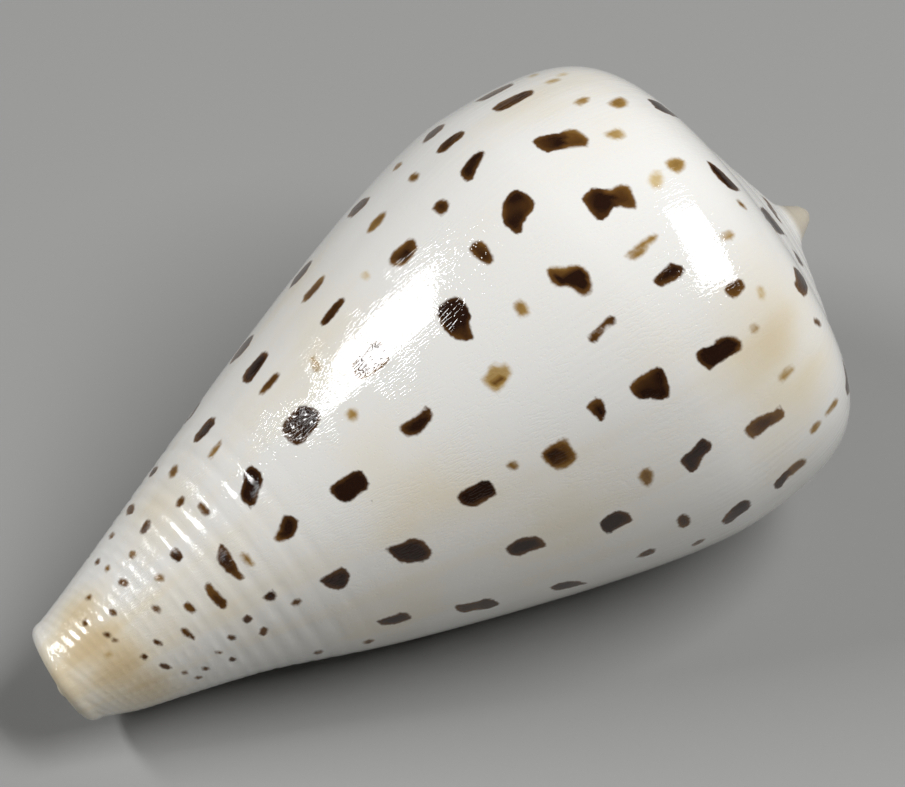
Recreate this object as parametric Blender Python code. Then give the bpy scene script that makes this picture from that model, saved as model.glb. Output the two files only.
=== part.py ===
"""Cone shell, grown as one piece, lying on its aperture side.

The wall is swept along a spiral. A section (ramp, shoulder, body, narrow end) is turned
about the coiling axis while it grows by a fixed factor per turn. Each turn leaves the ramp
of the turn before it uncovered, and those ramps are the spire. The last turn is uncovered
from the suture to the narrow end and stops at the outer lip. Behind the lip the aperture
runs one full turn inward between the wall and the turn before it.

Lengths inside the section are in millimetres and are turned into metres at the end.
"""

import math

import bmesh
import bpy
import numpy as np
from mathutils import Matrix

# Growth of the spiral
LIP_RADIUS = 25.6
GROWTH_PER_TURN = 1.435
SUTURE_SHARE = 0.61
SPIRE_TURNS = 7

# Spire and apex knob
SPIRE_SLOPE = 0.3545
KNOB_HEIGHT = 1.82
KNOB_RADIUS = 1.56
KNOB_ROUNDING = 0.6
KNOB_SMOOTH_REACH = 2.4
SUTURE_DEPTH = 0.13
SPIRE_LEAN = 0.043
SPIRE_LEAN_AT = math.radians(-271.6)
SPIRE_LEAN_FROM = 6.6
SPIRE_LEAN_REACH = 7.9

# Section of one turn
RAMP_SLOPE_INNER = 0.08
RAMP_SLOPE_OUTER = 0.18
LIP_RISE = 0.32
LIP_RISE_SPAN = 0.3
SHOULDER_DROP = 0.667
SHOULDER_HANDLE_TOP = 0.768
SHOULDER_HANDLE_SIDE = 0.694
END_DEPTH = 74.5
END_RADIUS = 7.75
END_GROWTH = 3.17
BODY_HANDLE_TOP = 0.20
BODY_HANDLE_END = 0.12
BODY_END_SLOPE = 0.32

# Slant of the narrow end, with the swelling and the hollow beside it
END_SHIFT = -0.7
END_SLANT = 1.53
END_SLANT_AT = math.radians(-152.0)
SWELLING = 0.34
SWELLING_ROW = 0.906
SWELLING_WIDTH = 0.07
HOLLOW = 0.60
HOLLOW_ROW = 0.68
HOLLOW_WIDTH = 0.10
COLUMELLA_AT = -5.2
COLUMELLA_SPAN = 1.6
RIM_HEIGHT = 1.67

# Wall and lip
WALL = 1.8
WALL_TAPER = 0.25
LIP_THINNING = 0.30
LIP_THINNING_SPAN = 0.3

# Spiral ribs on the narrow third
RIB_START_DEPTH = 52.0
RIB_CLIMB = 0.05
RIB_ROWS = 4
RIB_GROOVE = 0.13
RIB_FINE_GROOVE = 0.09

# Facets
COLUMNS = 48
CAVITY_COLUMNS = 24
SPIRE_COLUMNS = (48, 48, 32, 24, 16, 12, 12, 12)

# Rest position: turn about the coiling axis, then rise of the spire end
REST_ROLL = math.radians(48.65)
REST_RISE = math.radians(14.05)

TURN = 2.0 * math.pi
MM = 0.001


def radius(a):
    """Widest radius of the section at coil angle a; a is 0 at the lip and falls inward."""
    return LIP_RADIUS * GROWTH_PER_TURN ** (a / TURN)


def spire_depth(r):
    """Depth below the apex of the suture at radius r, a cone that ends in a round knob."""
    knob = KNOB_HEIGHT * (1.0 - np.exp(-(r / KNOB_RADIUS) ** 2))
    return knob + SPIRE_SLOPE * (np.hypot(r, KNOB_ROUNDING) - KNOB_ROUNDING)


def suture(a):
    """Radius and depth of the line where turn a lies on the turn before it."""
    r = SUTURE_SHARE * radius(a - TURN)
    return r, spire_depth(r)


def curve(p0, p1, p2, p3, t):
    """Cubic through p0 and p3 with the handles p1 and p2."""
    s = 1.0 - t
    return p0 * s ** 3 + 3.0 * p1 * t * s ** 2 + 3.0 * p2 * t ** 2 * s + p3 * t ** 3


def body_depth(top, end, v):
    """Depth along the body from the widest line at top to the narrow end."""
    h = end - top
    return curve(top, top + BODY_HANDLE_TOP * h, end - BODY_HANDLE_END * h, end, v)


def section(a, q):
    """Radius and depth of the outer wall.

    q runs 0 to 1 over the ramp, 1 to 2 over the shoulder, 2 to 3 down the body and
    3 to 4 round the rim of the narrow end.
    """
    a, q = np.broadcast_arrays(np.asarray(a, float), np.asarray(q, float))
    r0, d0 = suture(a)
    r1, d1 = suture(a + TURN)
    wide = radius(a)
    low = d1 + SHOULDER_DROP * wide

    t = np.clip(q, 0.0, 1.0)
    step = (r1 - r0) / 3.0
    ramp_r = curve(r0, r0 + step, r1 - step, r1, t)
    ramp_d = curve(d0, d0 + RAMP_SLOPE_INNER * step, d1 - RAMP_SLOPE_OUTER * step, d1, t)
    smooth = np.exp(-(ramp_r / KNOB_SMOOTH_REACH) ** 4)
    ramp_d = ramp_d + smooth * (spire_depth(ramp_r) - ramp_d)
    ramp_d = ramp_d - 4.0 * t * (1.0 - t) * LIP_RISE * np.exp(np.minimum(a, 0.0) / LIP_RISE_SPAN)

    t = np.clip(q - 1.0, 0.0, 1.0)
    reach = SHOULDER_HANDLE_TOP * (wide - r1)
    side = SHOULDER_HANDLE_SIDE * (low - d1)
    shoulder_r = curve(r1, r1 + reach, wide, wide, t)
    shoulder_d = curve(d1, d1 + RAMP_SLOPE_OUTER * reach, low - side, low, t)

    v = np.clip(q - 2.0, 0.0, 1.0)
    slant = np.cos(a - END_SLANT_AT)
    end = END_DEPTH + END_SHIFT * slant
    end_r = END_RADIUS * END_GROWTH ** (a / TURN)
    handle = BODY_END_SLOPE * BODY_HANDLE_END * (end - low)
    body_r = curve(wide, wide, end_r + handle, end_r, v)
    body_d = body_depth(low, end, v) + END_SLANT * slant * v ** 6
    near = np.exp(-((a - COLUMELLA_AT) / COLUMELLA_SPAN) ** 2)
    swell = SWELLING * np.exp(-((v - SWELLING_ROW) / SWELLING_WIDTH) ** 2)
    dip = HOLLOW * np.exp(-((v - HOLLOW_ROW) / HOLLOW_WIDTH) ** 2)
    body_r = body_r + near * (swell - dip)

    turn = np.clip(q - 3.0, 0.0, 1.0) * 0.5 * math.pi
    tuck = 1.0 - np.exp(-end_r / 3.0)
    body_r = body_r - tuck * (1.0 - np.cos(turn))
    body_d = body_d + RIM_HEIGHT * np.sin(turn)

    r = np.where(q <= 1.0, ramp_r, np.where(q <= 2.0, shoulder_r, body_r))
    d = np.where(q <= 1.0, ramp_d, np.where(q <= 2.0, shoulder_d, body_d))
    groove = SUTURE_DEPTH * np.exp(-(q / 0.06) ** 2)
    groove = groove + SUTURE_DEPTH * np.exp(-((q - 1.0) / 0.06) ** 2) * (a < -TURN)
    d = d + groove * np.clip(r0 / 3.0, 0.0, 1.0)
    lean = SPIRE_LEAN * r * np.cos(a - SPIRE_LEAN_AT)
    lean = lean * (1.0 - np.exp(-(r / SPIRE_LEAN_FROM) ** 2))
    return r, d - lean * np.exp(-(d / SPIRE_LEAN_REACH) ** 2)


def wall(a, q):
    """Radius and depth of the inner face, the outer wall moved in by the wall thickness."""
    r, d = section(a, q)
    r_on, d_on = section(a, q + 0.01)
    r_back, d_back = section(a, q - 0.01)
    dr = r_on - r_back
    dd = d_on - d_back
    long = np.hypot(dr, dd)
    v = np.clip(q - 2.0, 0.0, 1.0)
    thick = WALL * GROWTH_PER_TURN ** (a / TURN) * (1.0 - WALL_TAPER * v)
    thick = thick * (1.0 - LIP_THINNING * np.exp(a / LIP_THINNING_SPAN))
    return r - thick * dd / long, d + thick * dr / long


def rib_relief(a, v):
    """Inward depth of the grooves between the spiral ribs, at body share v."""
    d1 = spire_depth(SUTURE_SHARE * LIP_RADIUS)
    depth = body_depth(d1 + SHOULDER_DROP * LIP_RADIUS, END_DEPTH, v)
    period = RIB_ROWS * RIB_CLIMB * TURN / COLUMNS
    phase = (np.log(depth / RIB_START_DEPTH) - RIB_CLIMB * a) / period
    fade_in = np.clip((depth - RIB_START_DEPTH + 1.0) / 6.0, 0.0, 1.0)
    fade_in = fade_in * np.clip(-a / (TURN / COLUMNS), 0.0, 1.0)
    fine = np.clip((depth - 60.0) / 8.0, 0.0, 1.0)
    coarse_cut = 1.0 - np.abs(np.sin(0.5 * TURN * phase))
    fine_cut = 1.0 - np.abs(np.sin(TURN * phase))
    return fade_in * (RIB_GROOVE * coarse_cut + RIB_FINE_GROOVE * fine * fine_cut)


def place(a, r, d):
    """Point in shell space: the axis is Z, the apex is the origin and the body hangs below."""
    a, r, d = np.broadcast_arrays(a, r, d)
    return np.stack([r * np.cos(a), -r * np.sin(a), -d], axis=-1).reshape(-1, 3)


def body_rows():
    """Body shares v of the mesh rows; those over the ribs climb one row per column."""
    d1 = spire_depth(SUTURE_SHARE * LIP_RADIUS)
    table = np.linspace(0.0, 1.0, 2001)
    depth = body_depth(d1 + SHOULDER_DROP * LIP_RADIUS, END_DEPTH, table)
    start = float(np.interp(RIB_START_DEPTH, depth, table))
    upper = np.linspace(0.0, start, 8)[1:-1]
    step = RIB_CLIMB * TURN / COLUMNS
    count = int(math.log(END_DEPTH / RIB_START_DEPTH) / step)
    levels = RIB_START_DEPTH * np.exp(step * np.arange(count))
    lower = np.interp(levels, depth, table)
    return np.concatenate([upper, lower, [1.0]])


class Skin:
    """Points and faces of the one closed surface."""

    def __init__(self):
        self.points = []
        self.faces = []

    def add(self, rows):
        """Add points and return their numbers."""
        first = len(self.points)
        self.points.extend(tuple(p) for p in rows)
        return list(range(first, len(self.points)))

    def join(self, left, right, left_at, right_at):
        """Fill the strip between two lines of points, each with its own spacing."""
        i = 0
        j = 0
        while i < len(left) - 1 or j < len(right) - 1:
            more_i = i < len(left) - 1
            more_j = j < len(right) - 1
            level = more_i and more_j and abs(left_at[i + 1] - right_at[j + 1]) < 1e-9
            if level:
                self.patch([left[i], right[j], right[j + 1], left[i + 1]])
                i += 1
                j += 1
            elif more_i and (not more_j or left_at[i + 1] < right_at[j + 1]):
                self.patch([left[i], right[j], left[i + 1]])
                i += 1
            else:
                self.patch([left[i], right[j], right[j + 1]])
                j += 1

    def patch(self, corners):
        """Add one face, as triangles, leaving out corners that fall together."""
        kept = []
        for c in corners:
            if c not in kept:
                kept.append(c)
        if len(kept) == 4:
            self.faces.append((kept[0], kept[1], kept[2]))
            self.faces.append((kept[0], kept[2], kept[3]))
        elif len(kept) == 3:
            self.faces.append(tuple(kept))


def build_spire(skin):
    """Ramps of the earlier turns, from the apex out; returns the outermost lines."""
    lines = []
    shared = None
    for k in range(SPIRE_TURNS, -1, -1):
        at = np.linspace(-TURN * (k + 1), -TURN * k, SPIRE_COLUMNS[k] + 1)
        r, d = section(at, 0.0)
        pts = place(at, r, d)
        if shared is None:
            line = skin.add(pts)
        else:
            line = [shared] + skin.add(pts[1:])
        shared = line[-1]
        lines.append((line, at))
    lines.reverse()

    middle = None
    first_middle = None
    for k in range(SPIRE_TURNS, 0, -1):
        inner, inner_at = lines[k]
        outer, outer_at = lines[k - 1]
        at = outer_at - TURN
        r, d = section(at, 0.5)
        pts = place(at, r, d)
        if middle is None:
            mid = skin.add(pts)
            first_middle = mid[0]
        else:
            mid = [middle] + skin.add(pts[1:])
        middle = mid[-1]
        skin.join(inner, mid, inner_at, at)
        skin.join(mid, outer, at, outer_at - TURN)

    tip = skin.add([(0.0, 0.0, 0.0)])[0]
    ring = list(lines[SPIRE_TURNS][0]) + [first_middle]
    for i in range(len(ring)):
        skin.patch([tip, ring[i], ring[(i + 1) % len(ring)]])
    return lines[0][0], middle


def build_shell():
    """The whole surface of the shell, in shell space and millimetres."""
    skin = Skin()
    suture_line, ramp_middle = build_spire(skin)

    # Outer wall of the last turn, column by column from one turn back to the lip.
    v = body_rows()
    shoulder_q = np.array([1.16, 1.32, 1.48, 1.65, 1.82, 2.0])
    rim_q = np.array([3.35, 3.7, 4.0])
    outer_q = np.concatenate([[0.0, 0.5, 1.0], shoulder_q, 2.0 + v, rim_q])
    at = np.linspace(-TURN, 0.0, COLUMNS + 1)
    columns = []
    for i in range(COLUMNS + 1):
        r, d = section(at[i], outer_q)
        share = np.clip(outer_q - 2.0, 0.0, 1.0)
        on_body = (outer_q > 2.0) & (outer_q <= 3.0)
        fade = np.clip((3.0 - outer_q) / 0.03, 0.0, 1.0)
        r = r - np.where(on_body, rib_relief(at[i], share) * fade, 0.0)
        pts = place(at[i], r, d)
        if i == 0:
            columns.append([suture_line[0], ramp_middle, suture_line[-1]] + skin.add(pts[3:]))
        else:
            columns.append([suture_line[i]] + skin.add(pts[1:]))
    for i in range(COLUMNS):
        skin.join(columns[i], columns[i + 1], outer_q, outer_q)

    # Face of the turn before, seen inside the aperture.
    first = 5
    core_q = np.concatenate([shoulder_q[2:], np.linspace(2.0, 3.0, 12)[1:], rim_q])
    core_at = np.linspace(-2.0 * TURN, -TURN, CAVITY_COLUMNS + 1)
    core = []
    for i in range(CAVITY_COLUMNS):
        r, d = section(core_at[i], core_q)
        core.append(skin.add(place(core_at[i], r, d)))
    for i in range(CAVITY_COLUMNS - 1):
        skin.join(core[i], core[i + 1], core_q, core_q)
    skin.join(core[-1], columns[0][first:], core_q, outer_q[first:])

    # Inner face of the wall.
    inner_q = np.concatenate([[1.12, 1.3, 1.5, 1.75], np.linspace(2.0, 3.0, 12)])
    inner_at = np.linspace(-TURN, 0.0, CAVITY_COLUMNS + 1)
    inner = []
    for i in range(CAVITY_COLUMNS + 1):
        r, d = wall(inner_at[i], inner_q)
        top = columns[0][first] if i == CAVITY_COLUMNS else core[i][0]
        inner.append([top] + skin.add(place(inner_at[i], r, d)))
    line_q = np.concatenate([[1.0], inner_q])
    for i in range(CAVITY_COLUMNS):
        skin.join(inner[i + 1], inner[i], line_q, line_q)

    # Edge of the lip, rim of the narrow end, and the inmost end of the aperture.
    edge = columns[0][2:first] + inner[-1]
    edge_q = np.concatenate([[0.0, 0.4, 0.8, 1.05], line_q[1:-1], [4.0]])
    skin.join(columns[-1], edge, outer_q, edge_q)
    rim_outer = [c[-1] for c in columns]
    rim_inner = [c[-1] for c in inner]
    skin.join(rim_inner, rim_outer, inner_at, at)
    inmost_q = np.concatenate([[1.48, 1.66, 1.7, 1.75, 1.81], line_q[5:]])
    skin.join(core[0][:-1], inner[0], core_q[:-1], inmost_q)
    skin.patch([rim_outer[0], rim_inner[0], core[0][-2]])
    skin.patch([rim_outer[0], core[0][-2], core[0][-1]])

    # Tip of the columella.
    r, d = section(-1.5 * TURN, 4.0)
    tip = skin.add([(0.0, 0.0, -float(d) - 0.4)])[0]
    ring = [c[-1] for c in core] + [rim_outer[0]]
    for i in range(len(ring)):
        skin.patch([tip, ring[(i + 1) % len(ring)], ring[i]])
    return skin


def lay_down(points):
    """Turn the shell into its rest position and set it on the ground, in metres."""
    turn = Matrix.Rotation(REST_ROLL, 4, "Z")
    lay = Matrix.Rotation(0.5 * math.pi - REST_RISE, 4, "Y")
    both = np.array((lay @ turn).to_3x3())
    pts = np.asarray(points) @ both.T * MM
    low = pts.min(axis=0)
    high = pts.max(axis=0)
    centre = 0.5 * (low + high)
    return pts - np.array([centre[0], centre[1], low[2]])


def glaze():
    """Glossy white porcelain-like surface of the shell."""
    mat = bpy.data.materials.new("shell")
    mat.use_nodes = True
    shader = mat.node_tree.nodes["Principled BSDF"]
    shader.inputs["Base Color"].default_value = (0.80, 0.77, 0.70, 1.0)
    shader.inputs["Roughness"].default_value = 0.22
    shader.inputs["Metallic"].default_value = 0.0
    return mat


for old in list(bpy.data.objects):
    bpy.data.objects.remove(old, do_unlink=True)

shell_skin = build_shell()
shell_points = lay_down(shell_skin.points)

mesh = bpy.data.meshes.new("shell")
mesh.from_pydata([tuple(p) for p in shell_points], [], shell_skin.faces)
work = bmesh.new()
work.from_mesh(mesh)
bmesh.ops.recalc_face_normals(work, faces=work.faces)
work.to_mesh(mesh)
work.free()
mesh.materials.append(glaze())
mesh.shade_smooth()
mesh.set_sharp_from_angle(angle=math.radians(40.0))

shell = bpy.data.objects.new("shell", mesh)
group = bpy.data.collections.new("shell")
bpy.context.scene.collection.children.link(group)
group.objects.link(shell)
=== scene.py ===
"""Glossy white cone shell with rows of brown spots, lying on its aperture side.

One closed surface is swept along the coil, in millimetres and radians, laid on the floor,
stained with spots and covered with a clear natural gloss.
"""

import math

import bmesh
import bpy
import numpy as np
from mathutils import Matrix
from mathutils import Vector
from mathutils.bvhtree import BVHTree


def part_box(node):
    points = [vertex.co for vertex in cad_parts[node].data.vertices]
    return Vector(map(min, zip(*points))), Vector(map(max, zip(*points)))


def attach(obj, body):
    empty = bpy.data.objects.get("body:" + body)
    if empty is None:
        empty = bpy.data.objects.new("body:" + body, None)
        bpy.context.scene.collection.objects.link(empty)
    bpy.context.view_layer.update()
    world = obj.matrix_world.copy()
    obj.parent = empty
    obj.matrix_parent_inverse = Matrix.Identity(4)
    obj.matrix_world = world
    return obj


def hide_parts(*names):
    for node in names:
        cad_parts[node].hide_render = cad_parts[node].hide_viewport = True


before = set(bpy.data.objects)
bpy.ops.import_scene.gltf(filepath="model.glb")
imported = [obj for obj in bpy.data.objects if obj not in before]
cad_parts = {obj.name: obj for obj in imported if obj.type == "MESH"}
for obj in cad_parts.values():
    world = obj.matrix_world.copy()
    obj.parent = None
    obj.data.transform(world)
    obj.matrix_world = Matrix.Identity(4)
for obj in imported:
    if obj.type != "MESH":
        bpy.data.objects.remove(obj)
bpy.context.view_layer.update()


# Wall of the shell. Grown by the animal turn by turn, as one piece of hard white aragonite.
# Every turn lies on the one before it and leaves a narrow ramp uncovered; those ramps are
# the low spire, and the last turn runs from its rounded shoulder to the narrow end.
TURN = 2.0 * math.pi
LIP_RADIUS = 25.6
GROWTH_PER_TURN = 1.435
SUTURE_SHARE = 0.61
SPIRE_TURNS = 7
SPIRE_SLOPE = 0.3545
KNOB_HEIGHT = 1.82
KNOB_RADIUS = 1.60
KNOB_BLUNTNESS = 2.7
KNOB_ROUNDING = 0.6
KNOB_SMOOTH_REACH = 2.4
SUTURE_DEPTH = 0.13
SUTURE_WIDTH = 0.06
SUTURE_FADE_RADIUS = 3.0
SUTURE_COVER_SPAN = 0.1
SPIRE_LEAN = 0.043
SPIRE_LEAN_AT = math.radians(-271.6)
SPIRE_LEAN_FROM = 6.6
SPIRE_LEAN_REACH = 7.9
RAMP_SLOPE_INNER = 0.08
RAMP_SLOPE_OUTER = 0.18
LIP_RISE = 0.32
LIP_RISE_SPAN = 0.3
LIP_CORNER = 0.8
LIP_CORNER_SPAN = 0.25
SHOULDER_DROP = 0.667
SHOULDER_HANDLE_TOP = 0.768
SHOULDER_HANDLE_SIDE = 0.694
END_DEPTH = 74.5
END_RADIUS = 7.75
END_GROWTH = 3.17
BODY_HANDLE_TOP = 0.20
BODY_HANDLE_END = 0.12
BODY_END_SLOPE = 0.32
END_SHIFT = -0.7
END_SLANT = 1.53
END_SLANT_AT = math.radians(-152.0)
END_SLANT_POWER = 6
SWELLING = 0.34
SWELLING_ROW = 0.906
SWELLING_WIDTH = 0.07
HOLLOW = 0.60
HOLLOW_ROW = 0.68
HOLLOW_WIDTH = 0.10
COLUMELLA_AT = -5.2
COLUMELLA_SPAN = 1.6
RIM_HEIGHT = 1.15
RIM_TUCK_RADIUS = 3.0
SPIRAL_CORDS = 4.0
SPIRAL_CORD_HEIGHT = 0.035
SPIRAL_CORD_FADE_RADIUS = 4.0


def hold(x):
    """x, but never less than 0 or more than 1."""
    return np.clip(x, 0.0, 1.0)


def bell(x, width):
    """A bell over 0: e to the power of minus the square of x over its width."""
    return np.exp(-(x / width) ** 2)


def turn_radius(a):
    """Widest radius at coil angle a: the lip's radius times the growth to the power of turns."""
    return LIP_RADIUS * GROWTH_PER_TURN ** (a / TURN)


def spire_depth(r):
    """Depth below the apex at radius r: a straight cone plus a blunt round knob in its middle."""
    knob = KNOB_HEIGHT * (1.0 - np.exp(-(r / KNOB_RADIUS) ** KNOB_BLUNTNESS))
    return knob + SPIRE_SLOPE * (np.hypot(r, KNOB_ROUNDING) - KNOB_ROUNDING)


def suture(a):
    """Where a turn lies on the one before: a fixed share of that turn's widest radius."""
    r = SUTURE_SHARE * turn_radius(a - TURN)
    return r, spire_depth(r)


def bow(p0, p1, p2, p3, t):
    """Cubic from p0 to p3, pulled by p1 and p2: the four weighted by powers of t and 1 - t."""
    s = 1.0 - t
    return p0 * s ** 3 + 3.0 * p1 * t * s ** 2 + 3.0 * p2 * t ** 2 * s + p3 * t ** 3


def body_depth(top, end, v):
    """Depth along the body: a cubic that starts slowly at the shoulder and ends evenly."""
    h = end - top
    return bow(top, top + BODY_HANDLE_TOP * h, end - BODY_HANDLE_END * h, end, v)


def section(a, q):
    """Radius and depth of the outside of the wall at coil angle a and row q.

    q 0 to 1 crosses the ramp, 1 to 2 the shoulder, 2 to 3 goes down the body and 3 to 4
    round the rim. Each stretch is a cubic between points that grow with the turn's radius.
    """
    a, q = np.broadcast_arrays(np.asarray(a, float), np.asarray(q, float))
    r0, d0 = suture(a)
    r1, d1 = suture(a + TURN)
    wide = turn_radius(a)
    low = d1 + SHOULDER_DROP * wide

    t = hold(q)
    step = (r1 - r0) / 3.0
    ramp_r = bow(r0, r0 + step, r1 - step, r1, t)
    ramp_d = bow(d0, d0 + RAMP_SLOPE_INNER * step, d1 - RAMP_SLOPE_OUTER * step, d1, t)
    cords = np.sin(math.pi * t) ** 2 * np.cos(TURN * SPIRAL_CORDS * t)
    ramp_d = ramp_d - SPIRAL_CORD_HEIGHT * cords * hold(r0 / SPIRAL_CORD_FADE_RADIUS)
    smooth = np.exp(-(ramp_r / KNOB_SMOOTH_REACH) ** 4)
    ramp_d = ramp_d + smooth * (spire_depth(ramp_r) - ramp_d)
    before_lip = np.minimum(a, 0.0)
    ramp_d = ramp_d - 4.0 * t * (1.0 - t) * LIP_RISE * np.exp(before_lip / LIP_RISE_SPAN)

    t = hold(q - 1.0)
    reach = SHOULDER_HANDLE_TOP * (wide - r1)
    side = SHOULDER_HANDLE_SIDE * (low - d1)
    shoulder_r = bow(r1, r1 + reach, wide, wide, t)
    shoulder_d = bow(d1, d1 + RAMP_SLOPE_OUTER * reach, low - side, low, t)

    v = hold(q - 2.0)
    slant = np.cos(a - END_SLANT_AT)
    end = END_DEPTH + END_SHIFT * slant - LIP_CORNER * np.exp(before_lip / LIP_CORNER_SPAN)
    end_r = END_RADIUS * END_GROWTH ** (a / TURN)
    handle = BODY_END_SLOPE * BODY_HANDLE_END * (end - low)
    body_r = bow(wide, wide, end_r + handle, end_r, v)
    body_d = body_depth(low, end, v) + END_SLANT * slant * v ** END_SLANT_POWER
    near = bell(a - COLUMELLA_AT, COLUMELLA_SPAN)
    swell = SWELLING * bell(v - SWELLING_ROW, SWELLING_WIDTH)
    dip = HOLLOW * bell(v - HOLLOW_ROW, HOLLOW_WIDTH)
    body_r = body_r + near * (swell - dip)

    turn = hold(q - 3.0) * 0.5 * math.pi
    tuck = 1.0 - np.exp(-end_r / RIM_TUCK_RADIUS)
    body_r = body_r - tuck * (1.0 - np.cos(turn))
    body_d = body_d + RIM_HEIGHT * np.sin(turn)

    r = np.where(q <= 1.0, ramp_r, np.where(q <= 2.0, shoulder_r, body_r))
    d = np.where(q <= 1.0, ramp_d, np.where(q <= 2.0, shoulder_d, body_d))
    upper = bell(q, SUTURE_WIDTH) * hold(r0 / SUTURE_FADE_RADIUS)
    covered = hold(1.0 - (a + TURN) / SUTURE_COVER_SPAN)
    lower = bell(q - 1.0, SUTURE_WIDTH) * hold(r1 / SUTURE_FADE_RADIUS)
    d = d + SUTURE_DEPTH * (upper + covered * lower)
    lean = SPIRE_LEAN * r * np.cos(a - SPIRE_LEAN_AT)
    lean = lean * (1.0 - bell(r, SPIRE_LEAN_FROM))
    return r, d - lean * bell(d, SPIRE_LEAN_REACH)


def place(a, r, d):
    """Point at coil angle a, radius r, depth d: the axis is Z and the coil turns to the right."""
    a, r, d = np.broadcast_arrays(a, r, d)
    return np.stack([r * np.cos(a), -r * np.sin(a), -d], axis=-1)


# Ribs of the narrow end. Low flat bands that the edge of the mantle laid down as it grew,
# so they wind round the narrow third, closer together near the tip, with finer grooves between.
RIB_START_DEPTH = 53.0
RIB_CLIMB = 0.014
RIBS_AT_START = 0.45
RIBS_GAINED = 1.05
RIB_GROOVE = 0.064
RIB_FINE_GROOVE = 0.026
RIB_WANDER = 0.05
RIB_STRENGTH = 0.75
RIB_UNEVENNESS = 0.45
RIB_FADE_LEAD = 1.0
RIB_FADE_IN = 9.0
RIB_RIM_FADE = 0.75
RIB_FADE_AT_LIP = 0.13
GROWTH_RIPPLE = 0.0035
GROWTH_WAVES = 23.0
GROWTH_WAVES_BETWEEN = 37.0
GROWTH_SHARE_BETWEEN = 0.7


def rib_relief(a, v):
    """Inward depth of the rib grooves at coil angle a and body share v.

    The phase counts ribs down the body: RIBS_AT_START to a millimetre where they begin and
    RIBS_GAINED more at the tip. The grooves are the sharp zeros of its sine, deeper where
    the ribs are further apart, and a fainter set of them lies between.
    """
    d1 = spire_depth(SUTURE_SHARE * LIP_RADIUS)
    depth = body_depth(d1 + SHOULDER_DROP * LIP_RADIUS, END_DEPTH, v)
    span = END_DEPTH - RIB_START_DEPTH
    share = (depth * np.exp(-RIB_CLIMB * a) - RIB_START_DEPTH) / span
    phase = span * (RIBS_AT_START * share + RIBS_GAINED * share ** 3 / 3.0)
    phase = phase + RIB_WANDER * np.sin(2.3 * a + 0.9 * np.sin(0.8 * depth))
    pitch = 1.0 / (RIBS_AT_START + RIBS_GAINED * share ** 2)
    fade_in = hold((depth - RIB_START_DEPTH + RIB_FADE_LEAD) / RIB_FADE_IN)
    fade_in = fade_in * hold(-a / RIB_FADE_AT_LIP)
    rib = np.floor(phase)
    strength = RIB_STRENGTH + RIB_UNEVENNESS * np.sin(2.6 * rib) * np.sin(1.7 * a + rib)
    coarse_cut = strength * (1.0 - np.abs(np.sin(0.5 * TURN * phase)))
    fine_cut = 1.0 - np.abs(np.sin(TURN * phase))
    return fade_in * pitch * (RIB_GROOVE * coarse_cut + RIB_FINE_GROOVE * fine_cut)


def growth_ripple(a):
    """Faint waves left by pauses in growth: two sines of the coil angle added up."""
    between = GROWTH_SHARE_BETWEEN * np.sin(GROWTH_WAVES_BETWEEN * a + 1.0)
    return GROWTH_RIPPLE * (np.sin(GROWTH_WAVES * a) + between)


# Skin of the outside. The surface that shows: the ramps of the earlier turns, then the last
# turn from the suture over the shoulder and down the body to the rim of the narrow end.
COLUMNS = 256
RAMP_ROWS = 10
SHOULDER_ROWS = 58
BODY_ROWS = 175
RIM_ROWS = 6
APEX_RINGS = np.array([0.2, 0.4, 0.6, 0.8])
RIPPLE_END_SPAN = 0.1
RIPPLE_FROM = 1.15
RIPPLE_FADE_TOP = 0.3
RIPPLE_FADE_END = 0.5

ramp_q = np.linspace(0.0, 1.0, RAMP_ROWS + 1)
shoulder_q = np.linspace(1.0, 2.0, SHOULDER_ROWS + 1)[1:]
body_q = 2.0 + np.linspace(0.0, 1.0, BODY_ROWS + 1)[1:]
rim_q = np.linspace(3.0, 4.0, RIM_ROWS + 1)[1:]
outer_q = np.concatenate([ramp_q, shoulder_q, body_q, rim_q])
outer_at = np.linspace(-TURN, 0.0, COLUMNS + 1)
spire_at = np.linspace(-TURN * (SPIRE_TURNS + 1), -TURN, SPIRE_TURNS * COLUMNS + 1)

skin_points = []
skin_marks = []
skin_faces = []


def lay_points(points, a, along, outside):
    """Add a grid of points with their place round the coil and along the section, in mm."""
    first = sum(len(p) for p in skin_points)
    shape = points.shape[:2]
    skin_points.append(points.reshape(-1, 3))
    marks = np.stack([np.broadcast_to(a, shape), np.broadcast_to(along, shape)], axis=-1)
    side = np.full(shape + (1,), outside)
    skin_marks.append(np.concatenate([marks, side], axis=-1).reshape(-1, 3))
    return first + np.arange(shape[0] * shape[1]).reshape(shape)


def weave(ids):
    """Quads between neighbouring columns and rows of a grid of point numbers."""
    quads = [ids[:-1, :-1], ids[1:, :-1], ids[1:, 1:], ids[:-1, 1:]]
    skin_faces.append(np.stack(quads, axis=-1).reshape(-1, 4))


def stitch(left, right, left_at, right_at):
    """Triangles between two lines of different spacing: each next point in order joins on."""
    stops = np.concatenate([left_at[1:], right_at[1:]])
    order = np.argsort(stops, kind="stable")
    on_left = order < len(left_at) - 1
    i = np.cumsum(on_left)
    j = np.cumsum(~on_left)
    third = np.where(on_left, left[i], right[j])
    skin_faces.append(np.stack([left[i - on_left], right[j - ~on_left], third], axis=-1))


def fan(tip, ring):
    """Triangles from one point to a closed ring of points."""
    around = np.roll(ring, -1)
    skin_faces.append(np.stack([np.full(len(ring), tip), ring, around], axis=-1))


def arc_length(a, q):
    """Length along the section from the suture, the sum of its short straight steps."""
    r, d = section(a, q)
    steps = np.hypot(np.diff(r), np.diff(d))
    return np.concatenate([[0.0], np.cumsum(steps)])


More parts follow.
